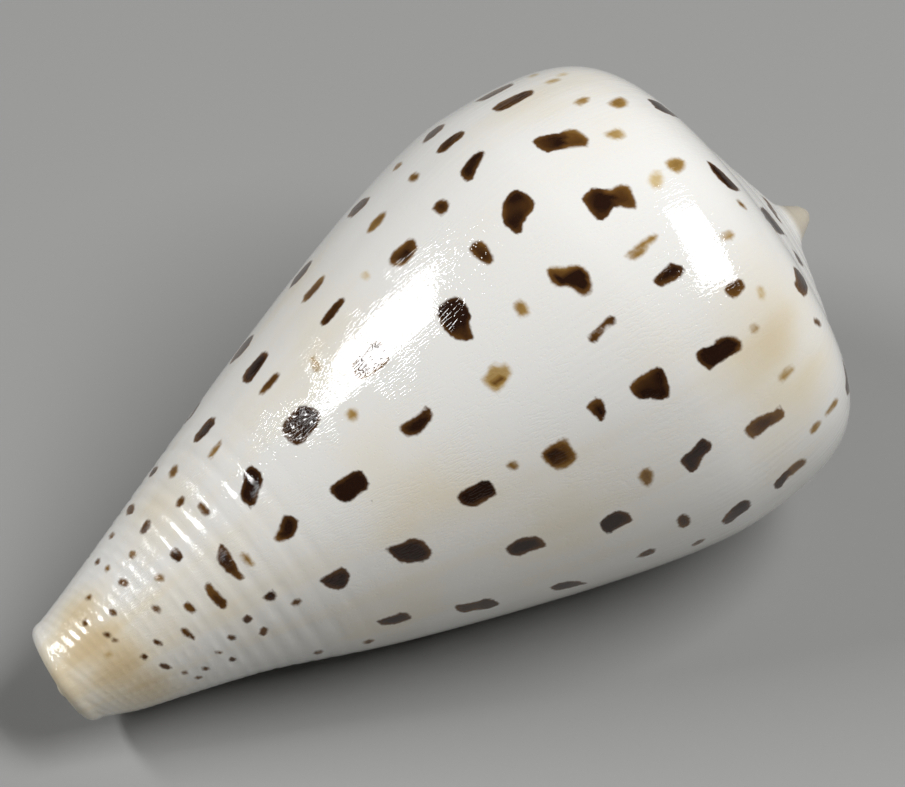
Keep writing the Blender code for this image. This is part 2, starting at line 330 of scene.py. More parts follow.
r, d = section(outer_at[:, None], outer_q[None, :])
share = hold(outer_q - 2.0)[None, :]
rim_fade = hold((3.0 + RIB_RIM_FADE - outer_q) / RIB_RIM_FADE)
relief = np.where(outer_q > 2.0, rib_relief(outer_at[:, None], share) * rim_fade, 0.0)
from_ends = np.minimum(-outer_at, outer_at + TURN)
calm_rows = hold((outer_q - RIPPLE_FROM) / RIPPLE_FADE_TOP) * hold((3.0 - outer_q) / RIPPLE_FADE_END)
ripple = (growth_ripple(outer_at) * hold(from_ends / RIPPLE_END_SPAN))[:, None] * calm_rows
outer_points = place(outer_at[:, None], r - relief + ripple, d)
outer_long = arc_length(-0.25 * TURN, outer_q)
outer = lay_points(outer_points, outer_at[:, None], outer_long[None, :], 1.0)
weave(outer)


def lay_rows(shape, a, q, outside):
    """Add a shape's points at every coil angle a and row q, marked by their length along it."""
    r, d = shape(a[:, None], q[None, :])
    along = np.interp(q, outer_q, outer_long)
    return lay_points(place(a[:, None], r, d), a[:, None], along[None, :], outside)


spire = lay_rows(section, spire_at, ramp_q, 1.0)
weave(spire)

apex_ring = np.concatenate([spire[:COLUMNS + 1, 0], spire[0, 1:-1][::-1], spire[:1, 0]])[::-1]
ring_points = np.concatenate(skin_points)[apex_ring]
ring_r = np.hypot(ring_points[:, 0], ring_points[:, 1])[:, None]
cap_share = APEX_RINGS[None, :]
cap_flat = ring_points[:, None, :2] * cap_share[..., None]
ring_lift = spire_depth(ring_r) + ring_points[:, None, 2]
cap_depth = spire_depth(ring_r * cap_share) - ring_lift * cap_share
cap_points = np.concatenate([cap_flat, -cap_depth[..., None]], axis=-1)
cap = lay_points(cap_points[:-1], spire_at[0], 0.0, 1.0)
cap = np.concatenate([cap, cap[:1]])
weave(np.concatenate([cap, apex_ring[:, None]], axis=1)[:, ::-1])
apex = lay_points(np.zeros((1, 1, 3)), spire_at[0], 0.0, 1.0)[0, 0]
fan(apex, cap[:-1, 0])


# Inside of the aperture. A narrow slot one full turn deep between the wall, which thins to
# the lip, and the turn before it. It is plain white and as smooth as the outside.
CAVITY_COLUMNS = 96
WALL = 1.8
WALL_TAPER = 0.25
LIP_THINNING = 0.30
LIP_THINNING_SPAN = 0.3
ROOF_Q = 1.12
ROOF_EDGE_Q = 1.48
ROOF_ROWS = 11
CAVITY_SHOULDER_ROWS = 8
CAVITY_BODY_ROWS = 36
SECTION_STEP = 0.01
END_BULGE = 0.15
ROW_NUDGE = 0.0001
LIP_NUDGE = 0.02


def wall_inside(a, q):
    """Inner face: the outside moved inward, square to its section, by the wall's thickness."""
    r, d = section(a, q)
    r_on, d_on = section(a, q + SECTION_STEP)
    r_back, d_back = section(a, q - SECTION_STEP)
    dr = r_on - r_back
    dd = d_on - d_back
    long = np.hypot(dr, dd)
    v = hold(q - 2.0)
    thick = WALL * GROWTH_PER_TURN ** (a / TURN) * (1.0 - WALL_TAPER * v)
    thick = thick * (1.0 - LIP_THINNING * np.exp(a / LIP_THINNING_SPAN))
    return r - thick * dd / long, d + thick * dr / long


first_row = int(np.searchsorted(outer_q, ROOF_EDGE_Q))
first_q = outer_q[first_row]
cavity_shoulder_q = np.linspace(first_q, 2.0, CAVITY_SHOULDER_ROWS + 1)
cavity_body_q = np.linspace(2.0, 3.0, CAVITY_BODY_ROWS + 1)[1:]
core_q = np.concatenate([cavity_shoulder_q, cavity_body_q, rim_q])
core_at = np.linspace(-2.0 * TURN, -TURN, CAVITY_COLUMNS + 1)[:-1]
core = lay_rows(section, core_at, core_q, 0.0)
weave(core)
stitch(core[-1], outer[0, first_row:], core_q, outer_q[first_row:])

inner_q = np.concatenate([np.linspace(ROOF_Q, 2.0, ROOF_ROWS + 1), cavity_body_q])
inner_at = np.linspace(-TURN, 0.0, CAVITY_COLUMNS + 1)
inner = lay_rows(wall_inside, inner_at, inner_q, 0.0)
weave(inner[:, ::-1])
roof = np.append(core[:, 0], outer[0, first_row])
stitch(inner[:, 0], roof, inner_at, inner_at)
stitch(inner[:, -1][::-1], outer[:, -1][::-1], -inner_at[::-1], -outer_at[::-1])

# The nudges settle which of two equal rows is joined first.
inmost = np.append(core[0, 0], inner[0])
stitch(core[0], inmost, np.append(core_q[:-1], 4.0), np.append(first_q, inner_q + ROW_NUDGE))
skin_faces.append(np.array([[outer[0, -1], inner[0, -1], core[0, -1]]]))
end_ring = np.append(core[:, -1], outer[0, -1])
end_depth = float(np.concatenate(skin_points)[end_ring, 2].mean()) - END_BULGE
end_tip = lay_points(np.array([[[0.0, 0.0, end_depth]]]), -TURN, 0.0, 1.0)[0, 0]
fan(end_tip, end_ring)

start_row = len(ramp_q) - 1
notch = outer[0, start_row:first_row]
lip_edge = np.concatenate([notch, [outer[0, first_row]], inner[-1]])
notch_q = np.linspace(0.0, 1.0, len(notch), endpoint=False)
lip_q = np.concatenate([notch_q, [1.0], inner_q[:-1] - LIP_NUDGE, [4.0]])
stitch(outer[-1], lip_edge, outer_q, lip_q)


# Laying down. The shell rolls until the aperture faces the floor, and its heavy shoulder
# lifts the spire end a little; the narrow end and the lip carry it on the floor.
REST_ROLL = math.radians(48.65)
REST_RISE = math.radians(14.05)
MM = 0.001
ROOM_INSIDE_BOX = 0.9993
COIL_MAP_LENGTH = 80.0
MERGE_DISTANCE = 1e-6
SHARP_EDGE = math.radians(55.0)

turn_over = Matrix.Rotation(0.5 * math.pi - REST_RISE, 4, "Y") @ Matrix.Rotation(REST_ROLL, 4, "Z")
rest_turn = np.array(turn_over.to_3x3())
all_points = np.concatenate(skin_points) @ rest_turn.T * MM
all_marks = np.concatenate(skin_marks)
box_low, box_high = (np.array(corner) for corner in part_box("shell"))
own_low = all_points.min(axis=0)
own_high = all_points.max(axis=0)
fit = min(float(np.min((box_high - box_low) / (own_high - own_low))) * ROOM_INSIDE_BOX, 1.0)
own_foot = np.array([own_high[0], 0.5 * (own_low[1] + own_high[1]), own_low[2]])
box_foot = np.array([box_high[0], 0.5 * (box_low[1] + box_high[1]), box_low[2]])
box_foot[0] -= (1.0 - ROOM_INSIDE_BOX) * 0.5 * (box_high[0] - box_low[0])


def lay_down(points):
    """Points of the coil in their place at rest: turned, then scaled about the foot, in metres."""
    return (points @ rest_turn.T * MM - own_foot) * fit + box_foot


all_points = lay_down(np.concatenate(skin_points))

shell_mesh = bpy.data.meshes.new("cone_shell")
face_list = [face for part in skin_faces for face in part.tolist() if len(set(face)) > 2]
shell_mesh.from_pydata(all_points.tolist(), [], face_list)
corners = np.empty(len(shell_mesh.loops), np.int32)
shell_mesh.loops.foreach_get("vertex_index", corners)
coil_map = shell_mesh.uv_layers.new(name="coil")
coil_uv = all_marks[corners][:, :2] / np.array([TURN, COIL_MAP_LENGTH])
coil_map.data.foreach_set("uv", coil_uv.astype(np.float32).ravel())


def keep_mark(name, values):
    """Store one number for each point of the skin under a name that the glaze can read."""
    kept = shell_mesh.attributes.new(name, "FLOAT", "POINT")
    kept.data.foreach_set("value", values.astype(np.float32))


def read_back(elements, name, width):
    """What the mesh holds under a name: one row of so many numbers for each element."""
    values = np.empty(len(elements) * width, np.float32)
    elements.foreach_get(name, values)
    return values.reshape(-1, width).astype(float)


keep_mark("outside", all_marks[:, 2])
skin = bmesh.new()
skin.from_mesh(shell_mesh)
bmesh.ops.remove_doubles(skin, verts=skin.verts, dist=MERGE_DISTANCE)
bmesh.ops.recalc_face_normals(skin, faces=skin.faces)
for face in skin.faces:
    face.smooth = True
skin.to_mesh(shell_mesh)
sight = BVHTree.FromBMesh(skin)
skin.free()
shell_mesh.set_sharp_from_angle(angle=SHARP_EDGE)

skin_at = read_back(shell_mesh.vertices, "co", 3)
skin_normal = read_back(shell_mesh.vertices, "normal", 3)
is_outside = read_back(shell_mesh.attributes["outside"].data, "value", 1)[:, 0] > 0.5


# View. A long lens looks down on the back of the shell from its front left side, so that
# the spire is at the upper right and the narrow end at the lower left.
FRAME_WIDE = 905.0
FRAME_HIGH = 787.0
FOCAL_PIXELS = 4728.85
LOOK_AT = np.array([0.003557, 0.000508, 0.017454])
LOOK_FROM_SIDE = -0.53226
LOOK_FROM_ABOVE = 0.83443
LOOK_ROLL = -0.0096
LOOK_DISTANCE = 0.40218
SENSOR_WIDTH = 36.0
SHELL_MIDDLE_X = 470.0
SHELL_MIDDLE_Y = 380.0
LONGEST_MISS = 40

back = np.array([
    math.cos(LOOK_FROM_ABOVE) * math.sin(LOOK_FROM_SIDE),
    -math.cos(LOOK_FROM_ABOVE) * math.cos(LOOK_FROM_SIDE),
    math.sin(LOOK_FROM_ABOVE),
])
level = np.array([math.cos(LOOK_FROM_SIDE), math.sin(LOOK_FROM_SIDE), 0.0])
upright = np.cross(back, level)
view_right = math.cos(LOOK_ROLL) * level + math.sin(LOOK_ROLL) * upright
view_up = np.cross(back, view_right)
view_point = LOOK_AT + LOOK_DISTANCE * back

lens = bpy.data.cameras.new("view")
lens.sensor_width = SENSOR_WIDTH
lens.lens = FOCAL_PIXELS * lens.sensor_width / FRAME_WIDE
lens.clip_start = 0.01
lens.clip_end = 20.0
viewer = bpy.data.objects.new("view", lens)
bpy.context.scene.collection.objects.link(viewer)
stand = Matrix.Identity(4)
for axis, column in enumerate((view_right, view_up, back)):
    for part in range(3):
        stand[part][axis] = column[part]
stand.translation = Vector(view_point)
viewer.matrix_world = stand
bpy.context.scene.camera = viewer


def land(x, y):
    """Point and normal of the shell under a place in the picture: a ray is sent to it.

    Where the ray misses, the place moves towards the middle of the shell, a pixel at a time.
    """
    for _ in range(LONGEST_MISS):
        across = (x - 0.5 * FRAME_WIDE) / FOCAL_PIXELS
        above = (0.5 * FRAME_HIGH - y) / FOCAL_PIXELS
        ray = across * view_right + above * view_up - back
        found = sight.ray_cast(Vector(view_point), Vector(ray).normalized())
        if found[0] is not None:
            return np.array(found[0]), np.array(found[1])
        away = math.hypot(SHELL_MIDDLE_X - x, SHELL_MIDDLE_Y - y)
        x += (SHELL_MIDDLE_X - x) / away
        y += (SHELL_MIDDLE_Y - y) / away
    raise ValueError("no shell under this place")


# Spots. Brown pigment that the mantle put down in the growing wall, dark in the middle with
# a golden rim where it is thin. They stand in rows that wind with the coil.
# Depth of colour, then the corners, read off the photograph in its pixels.
SPOTS = (
    (0.75, (475, 101), (492, 91), (510, 83), (512, 85), (497, 93), (484, 100)),
    (0.9, (492, 108), (498, 103), (512, 96), (526, 90), (531, 90), (533, 92), (530, 95), (517, 102),
     (506, 108), (500, 111), (495, 110)),
    (0.3, (545, 82), (551, 79), (557, 78), (558, 80), (551, 83)),
    (0.45, (574, 102), (580, 98), (588, 97), (587, 101), (581, 105), (576, 104)),
    (0.45, (608, 103), (614, 99), (620, 97), (626, 100), (625, 105), (619, 108), (612, 105)),
    (0.38, (605, 134), (611, 131), (616, 128), (621, 130), (624, 135), (617, 139), (608, 136)),
    (0.68, (560, 133), (568, 129), (576, 130), (583, 134), (587, 140), (587, 145), (580, 145), (560, 148)),
    (1.0, (531, 141), (536, 137), (547, 135), (562, 133), (566, 140), (565, 147), (556, 149), (545, 152),
     (540, 148)),
    (0.75, (422, 142), (428, 133), (437, 126), (444, 124), (441, 129), (433, 136), (425, 142)),
    (0.9, (436, 152), (441, 144), (451, 136), (460, 131), (464, 132), (462, 136), (453, 143), (445, 150),
     (440, 152)),
    (0.92, (460, 172), (466, 163), (474, 154), (480, 150), (484, 153), (480, 161), (475, 170), (471, 179),
     (466, 180), (462, 176)),
    (0.6, (393, 170), (396, 164), (400, 162), (401, 164), (397, 168)),
    (0.55, (408, 179), (411, 174), (416, 172), (418, 175), (416, 180), (412, 181)),
    (0.72, (432, 209), (437, 201), (444, 199), (448, 205), (446, 211), (440, 215), (435, 210)),
    (0.8, (347, 216), (353, 207), (362, 199), (369, 197), (366, 203), (359, 210), (352, 216)),
    (0.55, (367, 231), (371, 222), (379, 214), (384, 211), (384, 216), (379, 224), (372, 231)),
    (0.72, (389, 259), (394, 251), (403, 244), (410, 238), (415, 242), (416, 249), (411, 256), (405, 264),
     (397, 266), (391, 264)),
    (0.95, (397, 260), (400, 252), (406, 249), (410, 254), (405, 261)),
    (1.0, (502, 213), (503, 203), (508, 195), (514, 190), (520, 190), (528, 196), (534, 203), (532, 209),
     (526, 216), (522, 224), (521, 231), (517, 234), (512, 230), (507, 226), (503, 221)),
    (0.82, (469, 249), (473, 243), (479, 241), (484, 243), (488, 250), (492, 257), (492, 262), (487, 263),
     (481, 260), (474, 255)),
    (0.22, (362, 274), (365, 272), (368, 275), (368, 278), (365, 278)),
    (0.75, (604, 190), (612, 189), (620, 185), (626, 184), (629, 189), (632, 197), (636, 205), (633, 208),
     (625, 206), (616, 205), (604, 208)),
    (1.0, (582, 198), (588, 191), (595, 188), (604, 190), (610, 193), (614, 199), (613, 206), (606, 216),
     (600, 220), (594, 216), (589, 209), (585, 203)),
    (0.72, (547, 270), (553, 267), (562, 268), (571, 266), (580, 266), (587, 272), (590, 281), (591, 290),
     (586, 294), (579, 293), (573, 287), (566, 284), (560, 286), (554, 284), (549, 277)),
    (1.0, (553, 273), (562, 277), (570, 270), (580, 268), (586, 275), (588, 285), (580, 288), (572, 284),
     (562, 283), (556, 280)),
    (0.5, (514, 304), (518, 300), (522, 302), (526, 307), (528, 313), (523, 316), (519, 315), (516, 309)),
    (1.0, (437, 312), (441, 304), (447, 300), (453, 297), (460, 298), (466, 306), (470, 316), (468, 322),
     (470, 332), (472, 338), (466, 340), (457, 338), (449, 333), (442, 325)),
    (0.88, (588, 337), (593, 331), (601, 324), (606, 319), (611, 316), (615, 318), (614, 323), (607, 327),
     (600, 334), (595, 341), (591, 341)),
    (0.8, (289, 288), (294, 278), (303, 267), (310, 260), (311, 262), (305, 272), (297, 281)),
    (0.7, (302, 302), (305, 294), (313, 285), (321, 276), (324, 276), (322, 282), (315, 291), (308, 298)),
    (0.95, (320, 322), (325, 315), (333, 305), (340, 298), (344, 298), (342, 303), (335, 313), (328, 322),
     (323, 325)),
    (0.42, (310, 358), (313, 356), (315, 361), (319, 364), (320, 369), (316, 371), (313, 367)),
    (0.85, (229, 364), (234, 355), (243, 343), (251, 335), (253, 335), (249, 344), (240, 355)),
    (0.93, (242, 377), (246, 370), (254, 361), (261, 353), (265, 352), (267, 355), (263, 363), (256, 373),
     (249, 382), (244, 382)),
    (0.8, (259, 393), (262, 387), (269, 379), (275, 373), (279, 372), (277, 378), (270, 386), (262, 394)),
    (1.0, (281, 428), (285, 421), (293, 412), (300, 406), (308, 407), (316, 410), (320, 417), (317, 425),
     (310, 433), (303, 441), (297, 444), (290, 441), (284, 435)),
    (0.35, (347, 414), (350, 409), (355, 410), (357, 415), (354, 419), (349, 418)),
    (0.88, (400, 427), (406, 422), (413, 419), (420, 414), (426, 407), (429, 409), (431, 415), (430, 420),
     (424, 426), (419, 432), (411, 435), (406, 435), (402, 431)),
    (0.85, (352, 366), (356, 358), (364, 350), (372, 342), (378, 340), (384, 345), (389, 354), (386, 362),
     (378, 369), (370, 375), (363, 379), (356, 376)),
    (1.0, (329, 491), (333, 485), (341, 479), (348, 475), (354, 471), (360, 471), (366, 478), (368, 483),
     (365, 489), (357, 494), (351, 499), (344, 501), (338, 498), (333, 494)),
    (1.0, (244, 476), (246, 469), (250, 466), (255, 468), (260, 472), (262, 479), (260, 487), (257, 494),
     (255, 502), (251, 507), (246, 503), (241, 498), (240, 493), (243, 485)),
    (0.9, (183, 423), (187, 413), (193, 405), (199, 400), (197, 407), (191, 416), (185, 422)),
    (0.92, (193, 440), (196, 433), (203, 425), (209, 418), (214, 418), (213, 424), (206, 433), (198, 440),
     (195, 442)),
    (0.68, (208, 456), (211, 450), (216, 445), (220, 440), (220, 444), (216, 451), (210, 458)),
    (0.85, (149, 475), (152, 469), (156, 466), (157, 468), (153, 474), (151, 476)),
    (0.8, (176, 505), (178, 499), (182, 496), (184, 499), (183, 503), (179, 506)),
    (0.82, (198, 506), (200, 502), (204, 505), (209, 512), (207, 515), (203, 513)),
    (0.85, (140, 531), (143, 525), (146, 520), (150, 522), (149, 527), (145, 533), (142, 533)),
    (0.95, (170, 554), (172, 549), (175, 548), (180, 552), (182, 557), (178, 561), (173, 558)),
    (0.9, (217, 557), (219, 549), (221, 544), (224, 547), (229, 554), (234, 563), (237, 571), (243, 577),
     (240, 579), (234, 575), (226, 570), (220, 563)),
    (0.5, (241, 554), (244, 553), (248, 557), (253, 563), (251, 565), (245, 561)),
    (0.75, (274, 538), (278, 532), (281, 527), (284, 539), (279, 540)),
    (1.0, (279, 531), (281, 522), (284, 515), (290, 516), (297, 520), (296, 527), (293, 535), (286, 539),
     (280, 537)),
    (0.9, (205, 585), (208, 583), (213, 589), (219, 595), (225, 601), (226, 606), (221, 609), (214, 602),
     (208, 594)),
    (0.95, (263, 597), (267, 593), (271, 590), (275, 595), (272, 600), (267, 599)),
    (0.9, (183, 605), (187, 602), (191, 605), (195, 610), (192, 613), (186, 609)),
    (0.95, (181, 629), (184, 628), (189, 632), (193, 637), (192, 639), (186, 635), (182, 632)),
    (0.4, (482, 379), (487, 374), (490, 367), (494, 363), (499, 368), (504, 364), (508, 367), (510, 373),
     (506, 380), (502, 386), (496, 391), (490, 387)),
    (0.8, (491, 382), (497, 377), (503, 376), (504, 382), (497, 388)),
    (0.95, (587, 407), (591, 402), (595, 398), (600, 398), (604, 405), (605, 412), (602, 420), (599, 420),
     (595, 414)),
    (0.75, (541, 454), (546, 449), (556, 443), (562, 438), (567, 440), (571, 449), (576, 455), (573, 461),
     (566, 466), (556, 468), (548, 464)),
    (0.98, (546, 454), (554, 449), (560, 450), (566, 456), (562, 463), (554, 465)),
    (0.62, (507, 465), (511, 461), (515, 462), (517, 467), (512, 469)),
    (1.0, (629, 386), (634, 381), (643, 375), (651, 370), (657, 367), (662, 370), (666, 380), (669, 389),
     (668, 396), (662, 399), (650, 397), (640, 398), (633, 394)),
    (0.8, (714, 342), (721, 338), (728, 336), (737, 337), (741, 343), (741, 348), (734, 353), (724, 357)),
    (1.0, (695, 354), (702, 349), (712, 346), (720, 342), (730, 340), (738, 344), (738, 349), (732, 354),
     (724, 358), (715, 364), (709, 370), (703, 365), (698, 359)),
    (1.0, (457, 497), (462, 491), (470, 487), (477, 483), (484, 480), (490, 482), (494, 489), (495, 494),
     (489, 497), (482, 501), (474, 505), (466, 505), (460, 501)),
    (0.6, (638, 475), (643, 469), (648, 468), (652, 473), (651, 480), (648, 485), (644, 484), (641, 479)),
    (1.0, (600, 524), (603, 519), (608, 515), (616, 511), (623, 511), (629, 515), (632, 520), (628, 522),
     (620, 526), (613, 530), (608, 533), (603, 529)),
    (0.85, (677, 520), (680, 515), (685, 514), (688, 518), (689, 523), (684, 527), (679, 526)),
    (0.95, (506, 548), (511, 543), (519, 539), (528, 537), (537, 537), (542, 541), (545, 545), (538, 548),
     (528, 551), (519, 555), (511, 554)),
    (0.85, (635, 557), (642, 552), (650, 548), (655, 549), (652, 553), (644, 556)),
    (0.8, (692, 544), (698, 540), (704, 538), (701, 542), (695, 545)),
    (0.92, (722, 520), (726, 514), (733, 507), (741, 501), (747, 500), (750, 505), (747, 509), (738, 515),
     (731, 521), (725, 524)),
    (1.0, (680, 460), (686, 454), (693, 448), (698, 442), (702, 438), (707, 440), (711, 446), (707, 451),
     (701, 458), (698, 466), (692, 472), (687, 468)),
    (0.88, (744, 429), (749, 423), (758, 417), (768, 413), (776, 411), (778, 406), (783, 412), (783, 417),
     (776, 421), (767, 427), (759, 434), (753, 438), (748, 434)),
    (0.35, (779, 376), (783, 371), (788, 367), (792, 366), (793, 370), (788, 374), (783, 380), (780, 380)),
    (0.24, (757, 288), (761, 287), (764, 294), (762, 298), (759, 296)),
    (0.86, (724, 289), (729, 282), (735, 280), (741, 279), (744, 286), (740, 292), (734, 297), (728, 294)),
    (0.97, (653, 281), (657, 276), (664, 269), (671, 263), (675, 265), (679, 265), (684, 270), (680, 275),
     (672, 280), (664, 284), (659, 286)),
    (0.5, (626, 255), (631, 250), (638, 245), (645, 240), (652, 234), (656, 234), (656, 238), (649, 243),
     (645, 249), (640, 255), (633, 259), (629, 257)),
    (0.45, (720, 237), (724, 233), (729, 231), (733, 234), (730, 238), (724, 239)),
    (0.42, (665, 162), (671, 159), (678, 158), (684, 161), (683, 167), (677, 172), (670, 169)),
    (0.18, (649, 180), (653, 172), (659, 171), (662, 178), (660, 186), (654, 188)),
    (1.0, (648, 99), (653, 100), (660, 103), (666, 108), (673, 113), (679, 118), (672, 115), (664, 112),
     (656, 108)),
    (1.0, (707, 161), (712, 163), (720, 170), (729, 179), (736, 186), (740, 190), (735, 190), (728, 187),
     (720, 180), (712, 170)),
    (1.0, (761, 206), (766, 210), (773, 219), (780, 228), (786, 235), (780, 233), (772, 226), (765, 218)),
    (0.85, (762, 196), (768, 202), (775, 212), (781, 222), (776, 217), (768, 206)),
    (0.9, (792, 249), (797, 255), (802, 263), (803, 267), (798, 261)),
    (0.95, (793, 267), (798, 270), (803, 277), (807, 286), (806, 293), (803, 295), (798, 290), (794, 284),
     (796, 280)),
    (0.9, (843, 360), (846, 372), (849, 383), (849, 390), (847, 394), (845, 388), (845, 376)),
    (0.48, (825, 413), (829, 407), (834, 400), (837, 400), (836, 404), (830, 411), (826, 415)),
    (0.52, (810, 430), (813, 425), (818, 421), (820, 423), (817, 428), (812, 433)),
    (0.62, (785, 471), (793, 464), (799, 459), (804, 460), (805, 463), (799, 468), (789, 477)),
    (0.97, (773, 484), (778, 478), (784, 472), (789, 469), (789, 474), (785, 480), (780, 487), (776, 488)),
    (0.95, (386, 549), (393, 545), (402, 543), (410, 539), (418, 539), (425, 544), (430, 550), (431, 554),
     (425, 560), (415, 561), (403, 562), (395, 557)),
    (1.0, (320, 580), (327, 576), (334, 571), (340, 567), (345, 569), (349, 575), (346, 584), (340, 589),
     (332, 588), (325, 584)),
    (0.92, (377, 621), (384, 618), (392, 616), (400, 612), (406, 613), (410, 618), (402, 621), (392, 624),
     (382, 624)),
    (0.95, (455, 605), (465, 604), (477, 601), (487, 598), (493, 600), (498, 604), (488, 608), (476, 609),
     (463, 612), (458, 610)),
    (0.92, (550, 587), (558, 583), (567, 581), (578, 581), (586, 583), (577, 585), (566, 588), (556, 590)),
)

# Small spots: middle in the photograph's pixels, length, width, lean in degrees, depth of colour.
SMALL_SPOTS = (
    (173, 471, 10, 5, 60, 0.55), (130, 509, 9, 5, 58, 0.8), (111, 535, 5, 3, 50, 0.7),
    (132, 554, 6, 5, 40, 0.8), (97, 561, 5, 3, 50, 0.8), (107, 568, 4, 3, 50, 0.7),
    (87, 555, 6, 2, 52, 0.7), (159, 577, 7, 5, -40, 0.62), (123, 582, 9, 4, -32, 0.85),
    (296, 602, 7, 4, 20, 0.85), (88, 597, 4, 3, 10, 0.7), (156, 609, 9, 4, -40, 0.82),
    (112, 612, 6, 3, -35, 0.9), (247, 619, 6, 5, 10, 0.97), (85, 622, 4, 3, 10, 0.9),
    (263, 631, 7, 5, 30, 0.92), (231, 637, 6, 3, -20, 0.95), (106, 634, 6, 3, -30, 0.85),
    (115, 640, 5, 2, -25, 0.85), (157, 642, 7, 3, -30, 0.92), (144, 656, 6, 3, -30, 0.95),
    (218, 652, 5, 2, -15, 0.9), (232, 659, 5, 3, -20, 0.95), (165, 666, 9, 3, -20, 0.92),
    (205, 668, 5, 2, -15, 0.85), (184, 672, 4, 2, -15, 0.85), (198, 677, 4, 2, -15, 0.85),
    (318, 652, 6, 3, 10, 0.8), (368, 641, 8, 3, 8, 0.7), (754, 328, 6, 5, 30, 0.42),
    (741, 204, 9, 2, -42, 0.62), (817, 322, 7, 3, -45, 0.8), (789, 499, 10, 2, 38, 0.9),
    (533, 75, 6, 2, 12, 0.2), (562, 74, 7, 2, 10, 0.12), (108, 654, 4, 3, 10, 0.3),
)
# Corners of a small spot, as shares of its half length and half width.
SMALL_SPOT_CORNERS = ((1.0, 0.0), (0.3, 1.0), (-0.6, 1.0), (-1.0, 0.0), (-0.3, -1.0), (0.6, -1.0))
SMALL_SPOT_HALF = 0.62
PIXEL_MIDDLE = 0.5
SPOT_MARGIN = 3.0
PLAIN_DEPTH = 0.5
TINY = 1e-9

spot_edge = np.full(len(skin_at), -SPOT_MARGIN)
spot_depth = np.full(len(skin_at), PLAIN_DEPTH)
spot_places = []


def inside_by(points, corners):
    """How far points lie inside an outline: distance to its nearest side, less than 0 outside.

    A point is inside when a line from it to the right crosses the outline an odd number of times.
    """
    start = corners[None, :, :]
    side = np.roll(corners, -1, axis=0)[None, :, :] - start
    out = points[:, None, :] - start
    along = hold((out * side).sum(-1) / np.maximum((side ** 2).sum(-1), TINY))
    gap = np.linalg.norm(out - along[..., None] * side, axis=-1).min(axis=1)
    above = out[..., 1] < 0.0
    above_end = (out - side)[..., 1] < 0.0
    rise = np.where(np.abs(side[..., 1]) < TINY, TINY, side[..., 1])
    cross = out[..., 0] - out[..., 1] / rise * side[..., 0] < 0.0
    odd = ((above != above_end) & cross).sum(axis=1) % 2 == 1
    return np.where(odd, gap, -gap)


def stain(middle, normal, outline, depth):
    """Mark the skin with one spot: its outline lies flat on the skin at its middle, in mm.

    Each point keeps the greatest distance inside any spot, and the depth of the spot it is in.
    """
    helper = np.array([0.0, 0.0, 1.0]) if abs(normal[2]) < 0.9 else np.array([1.0, 0.0, 0.0])
    across = np.cross(helper, normal)
    across = across / np.linalg.norm(across)
    over = np.cross(normal, across)
    flat = np.stack([(outline - middle) @ across, (outline - middle) @ over], axis=-1) / MM
    reach = np.linalg.norm(flat, axis=-1).max()
    away = (skin_at - middle) / MM
    close = (np.linalg.norm(away, axis=-1) < reach + SPOT_MARGIN) & (skin_normal @ normal > 0.2)
    near = np.flatnonzero(close & is_outside)
    on_flat = np.stack([away[near] @ across, away[near] @ over], axis=-1)
    depth_in = inside_by(on_flat, flat)
    better = depth_in > spot_edge[near]
    darker = (depth_in > 0.0) & (depth > spot_depth[near]) & (spot_edge[near] > 0.0)
    spot_depth[near[better | darker]] = depth
    spot_edge[near[better]] = depth_in[better]
    spot_places.append((middle, reach))


def stain_seen(places, depth):
    """Mark a spot whose corners are places in the picture: each one lands on the skin."""
    landed = [land(x + PIXEL_MIDDLE, y + PIXEL_MIDDLE) for x, y in places]
    outline = np.array([point for point, _ in landed])
    normal = np.array([facing for _, facing in landed]).mean(axis=0)
    stain(outline.mean(axis=0), normal / np.linalg.norm(normal), outline, depth)


for depth, *corners in SPOTS:
    stain_seen(corners, depth)

for x, y, length, width, lean, depth in SMALL_SPOTS:
    slope = math.radians(lean)
    along = np.array([math.cos(slope), -math.sin(slope)]) * SMALL_SPOT_HALF * length
    over = np.array([math.sin(slope), math.cos(slope)]) * SMALL_SPOT_HALF * width
    ring = [(x, y) + on * along + off * over for on, off in SMALL_SPOT_CORNERS]
    stain_seen(ring, depth)


# Spots of the sides that the photograph doesn't show: rows along the coil as on the back,
# large at the shoulder and small at the narrow end, each with its own turn, size and depth.
HIDDEN_SEED = 27
HIDDEN_SHOULDER_ROWS = np.linspace(1.30, 2.0, 5)[:-1]
HIDDEN_BODY_ROWS = 2.0 + np.linspace(0.02, 0.95, 13)
# How the spots change down the rows: half their length in mm, and how many go round a turn.
HIDDEN_SIZES = ((1.2, 1.8, 2.3, 2.6, 3.0), (1.6, 2.0, 1.9, 1.0, 0.5))
HIDDEN_NUMBERS = ((1.2, 2.0, 3.0), (15.3, 18.7, 25.5))
HIDDEN_DEPTHS = (1.0, 0.95, 0.85, 0.6, 0.4)
HIDDEN_DEPTH_SHARES = (0.34, 0.24, 0.18, 0.12, 0.12)
HIDDEN_CORNERS = 7
HIDDEN_CLEARANCE = 1.5
FACING_AWAY = -0.06
ROW_STEP = 0.02


def on_skin(a, r, d):
    """The nearest point of the laid-down skin to a place on the coil, and the way it faces."""
    nearest, normal, _, _ = sight.find_nearest(Vector(lay_down(place(a, r, d))))
    return np.array(nearest), np.array(normal)


def clearance(here):
    """Distance in mm from a point to the rim of the nearest spot there is."""
    return min(np.linalg.norm(here - other) / MM - reach for other, reach in spot_places)


def along_skin(way, normal):
    """A direction laid flat on the skin: its part along the normal is taken off."""
    way = way - normal * (way @ normal)
    return way / np.linalg.norm(way)


